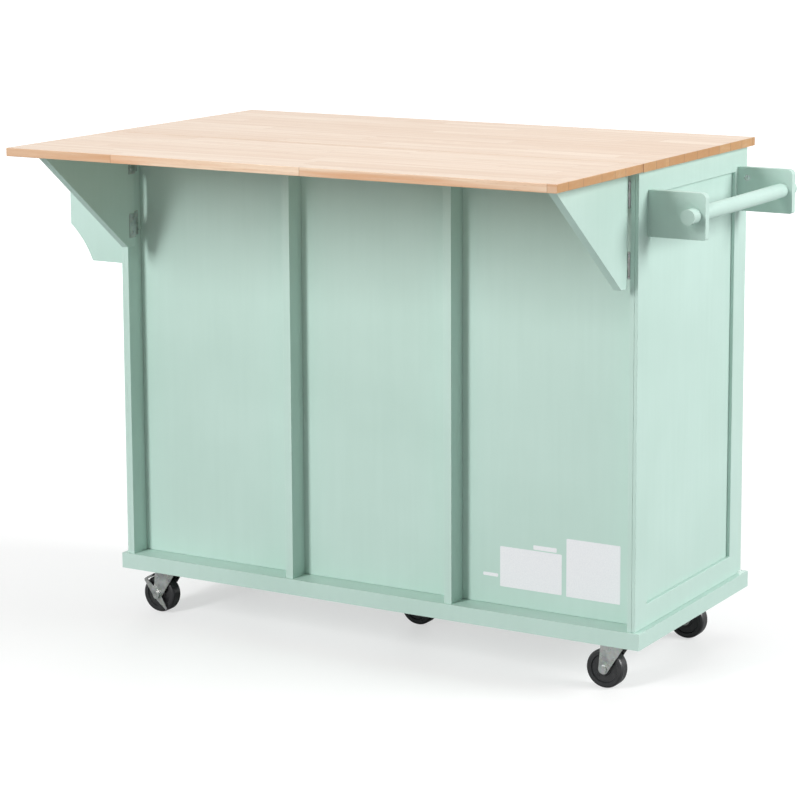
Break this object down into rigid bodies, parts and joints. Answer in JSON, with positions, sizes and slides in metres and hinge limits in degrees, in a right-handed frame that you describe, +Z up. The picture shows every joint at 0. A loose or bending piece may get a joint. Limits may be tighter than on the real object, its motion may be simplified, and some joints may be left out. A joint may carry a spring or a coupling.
{
  "type": "kitchen island cart",
  "caption": "Wheeled kitchen island cart with doors, drawers, a wood worktop and a hinged leaf on swing-out brackets, a towel rack at one end and a spice rack at the other.",
  "frame": {"origin": "on the floor, under the middle of the whole cart's outline with the leaf up", "axes": "+X along the worktop towards the spice rack, +Y from the doors towards the leaf, +Z up"},
  "size_m": [1.316, 0.797, 0.93],
  "materials": {
    "painted_board": "satin mint-green paint on board",
    "worktop_wood": "clear satin lacquer on pale finger-width staves",
    "plain_board": "plain pale board, thin clear coat",
    "zinc_steel": "bright zinc plating",
    "knob_nickel": "satin nickel",
    "wheel_black": "satin black"
  },
  "bodies": {
    "cabinet": {"base_board": "painted_board", "towel_side_panel": "painted_board", "spice_side_panel": "painted_board", "towel_side_frame": "painted_board", "spice_side_frame": "painted_board", "partitions": "painted_board", "back_panels": "painted_board", "top_stretchers": "painted_board", "shelves": "painted_board", "shelf_pins": "zinc_steel", "fixed_top": "worktop_wood", "leaf_hinge_fixed_leaves": "zinc_steel", "hinge_pins": "zinc_steel", "bracket_hinge_fixed_leaves": "zinc_steel", "towel_rack_plates": "painted_board", "towel_bar": "painted_board", "spice_rack_ends": "painted_board", "spice_rack_floor": "painted_board", "spice_rack_rails": "painted_board", "rack_cam_locks": "zinc_steel", "drawer_runners": "plain_board", "caster_plates": "zinc_steel"},
    "leaf": {"drop_leaf": "worktop_wood", "leaf_hinge_moving_leaves": "zinc_steel"},
    "towel_side_bracket": {"towel_side_bracket": "painted_board", "towel_side_bracket_leaves": "zinc_steel"},
    "spice_side_bracket": {"spice_side_bracket": "painted_board", "spice_side_bracket_leaves": "zinc_steel"},
    "towel_side_door": {"towel_side_door_frame": "painted_board", "towel_side_door_panel": "painted_board", "towel_side_door_knob": "knob_nickel"},
    "spice_side_door": {"spice_side_door_frame": "painted_board", "spice_side_door_panel": "painted_board", "spice_side_door_knob": "knob_nickel"},
    "top_drawer": {"top_drawer_front": "painted_board", "top_drawer_box": "plain_board", "top_drawer_knob": "knob_nickel"},
    "middle_drawer": {"middle_drawer_front": "painted_board", "middle_drawer_box": "plain_board", "middle_drawer_knob": "knob_nickel"},
    "bottom_drawer": {"bottom_drawer_front": "painted_board", "bottom_drawer_box": "plain_board", "bottom_drawer_knob": "knob_nickel"},
    "fork_towel_rear": {"caster_fork_towel_rear": "zinc_steel", "caster_axle_towel_rear": "zinc_steel"},
    "wheel_towel_rear": {"caster_wheel_towel_rear": "wheel_black"},
    "fork_towel_front": {"caster_fork_towel_front": "zinc_steel", "caster_axle_towel_front": "zinc_steel"},
    "wheel_towel_front": {"caster_wheel_towel_front": "wheel_black"},
    "fork_spice_rear": {"caster_fork_spice_rear": "zinc_steel", "caster_axle_spice_rear": "zinc_steel"},
    "wheel_spice_rear": {"caster_wheel_spice_rear": "wheel_black"},
    "fork_spice_front": {"caster_fork_spice_front": "zinc_steel", "caster_axle_spice_front": "zinc_steel"},
    "wheel_spice_front": {"caster_wheel_spice_front": "wheel_black"},
    "fork_centre": {"caster_fork_centre": "zinc_steel", "caster_axle_centre": "zinc_steel"},
    "wheel_centre": {"caster_wheel_centre": "wheel_black"},
    "pedal_spice_rear": {"brake_pedal_spice_rear": "zinc_steel"},
    "pedal_spice_front": {"brake_pedal_spice_front": "zinc_steel"}
  },
  "joints": [
    {"name": "leaf_lift", "type": "hinge", "parent": "cabinet", "child": "leaf", "pos_m": [-0.0195, 0.08675, 0.9116], "axis": [1, 0, 0], "range_deg": [0, 3]},
    {"name": "towel_side_bracket_swing", "type": "hinge", "parent": "cabinet", "child": "towel_side_bracket", "pos_m": [-0.5341, 0.0785, 0.8], "axis": [0, 0, -1], "range_deg": [0, 90]},
    {"name": "spice_side_bracket_swing", "type": "hinge", "parent": "cabinet", "child": "spice_side_bracket", "pos_m": [0.4951, 0.0785, 0.8], "axis": [0, 0, 1], "range_deg": [0, 90]},
    {"name": "towel_side_door_swing", "type": "hinge", "parent": "cabinet", "child": "towel_side_door", "pos_m": [-0.546, -0.3695, 0.52], "axis": [0, 0, -1], "range_deg": [0, 105]},
    {"name": "spice_side_door_swing", "type": "hinge", "parent": "cabinet", "child": "spice_side_door", "pos_m": [0.507, -0.3695, 0.52], "axis": [0, 0, 1], "range_deg": [0, 105]},
    {"name": "top_drawer_slide", "type": "slide", "parent": "cabinet", "child": "top_drawer", "axis": [0, -1, 0], "range_m": [0, 0.3]},
    {"name": "middle_drawer_slide", "type": "slide", "parent": "cabinet", "child": "middle_drawer", "axis": [0, -1, 0], "range_m": [0, 0.3]},
    {"name": "bottom_drawer_slide", "type": "slide", "parent": "cabinet", "child": "bottom_drawer", "axis": [0, -1, 0], "range_m": [0, 0.3]},
    {"name": "swivel_towel_rear", "type": "hinge", "parent": "cabinet", "child": "fork_towel_rear", "pos_m": [-0.4945, 0.0215, 0.08], "axis": [0, 0, 1], "continuous": true},
    {"name": "roll_towel_rear", "type": "hinge", "parent": "fork_towel_rear", "child": "wheel_towel_rear", "pos_m": [-0.4725, 0.0215, 0.035], "axis": [0, 1, 0], "continuous": true},
    {"name": "swivel_towel_front", "type": "hinge", "parent": "cabinet", "child": "fork_towel_front", "pos_m": [-0.4945, -0.3185, 0.08], "axis": [0, 0, 1], "continuous": true},
    {"name": "roll_towel_front", "type": "hinge", "parent": "fork_towel_front", "child": "wheel_towel_front", "pos_m": [-0.4725, -0.3185, 0.035], "axis": [0, 1, 0], "continuous": true},
    {"name": "swivel_spice_rear", "type": "hinge", "parent": "cabinet", "child": "fork_spice_rear", "pos_m": [0.4555, 0.0215, 0.08], "axis": [0, 0, 1], "continuous": true},
    {"name": "roll_spice_rear", "type": "hinge", "parent": "fork_spice_rear", "child": "wheel_spice_rear", "pos_m": [0.4775, 0.0215, 0.035], "axis": [0, 1, 0], "continuous": true},
    {"name": "swivel_spice_front", "type": "hinge", "parent": "cabinet", "child": "fork_spice_front", "pos_m": [0.4555, -0.3185, 0.08], "axis": [0, 0, 1], "continuous": true},
    {"name": "roll_spice_front", "type": "hinge", "parent": "fork_spice_front", "child": "wheel_spice_front", "pos_m": [0.4775, -0.3185, 0.035], "axis": [0, 1, 0], "continuous": true},
    {"name": "swivel_centre", "type": "hinge", "parent": "cabinet", "child": "fork_centre", "pos_m": [-0.0195, -0.1485, 0.08], "axis": [0, 0, 1], "continuous": true},
    {"name": "roll_centre", "type": "hinge", "parent": "fork_centre", "child": "wheel_centre", "pos_m": [0.0025, -0.1485, 0.035], "axis": [0, 1, 0], "continuous": true},
    {"name": "pedal_spice_rear_press", "type": "hinge", "parent": "fork_spice_rear", "child": "pedal_spice_rear", "pos_m": [0.4775, 0.0215, 0.035], "axis": [0, 1, 0], "range_deg": [0, 18]},
    {"name": "pedal_spice_front_press", "type": "hinge", "parent": "fork_spice_front", "child": "pedal_spice_front", "pos_m": [0.4775, -0.3185, 0.035], "axis": [0, 1, 0], "range_deg": [0, 18]}
  ]
}
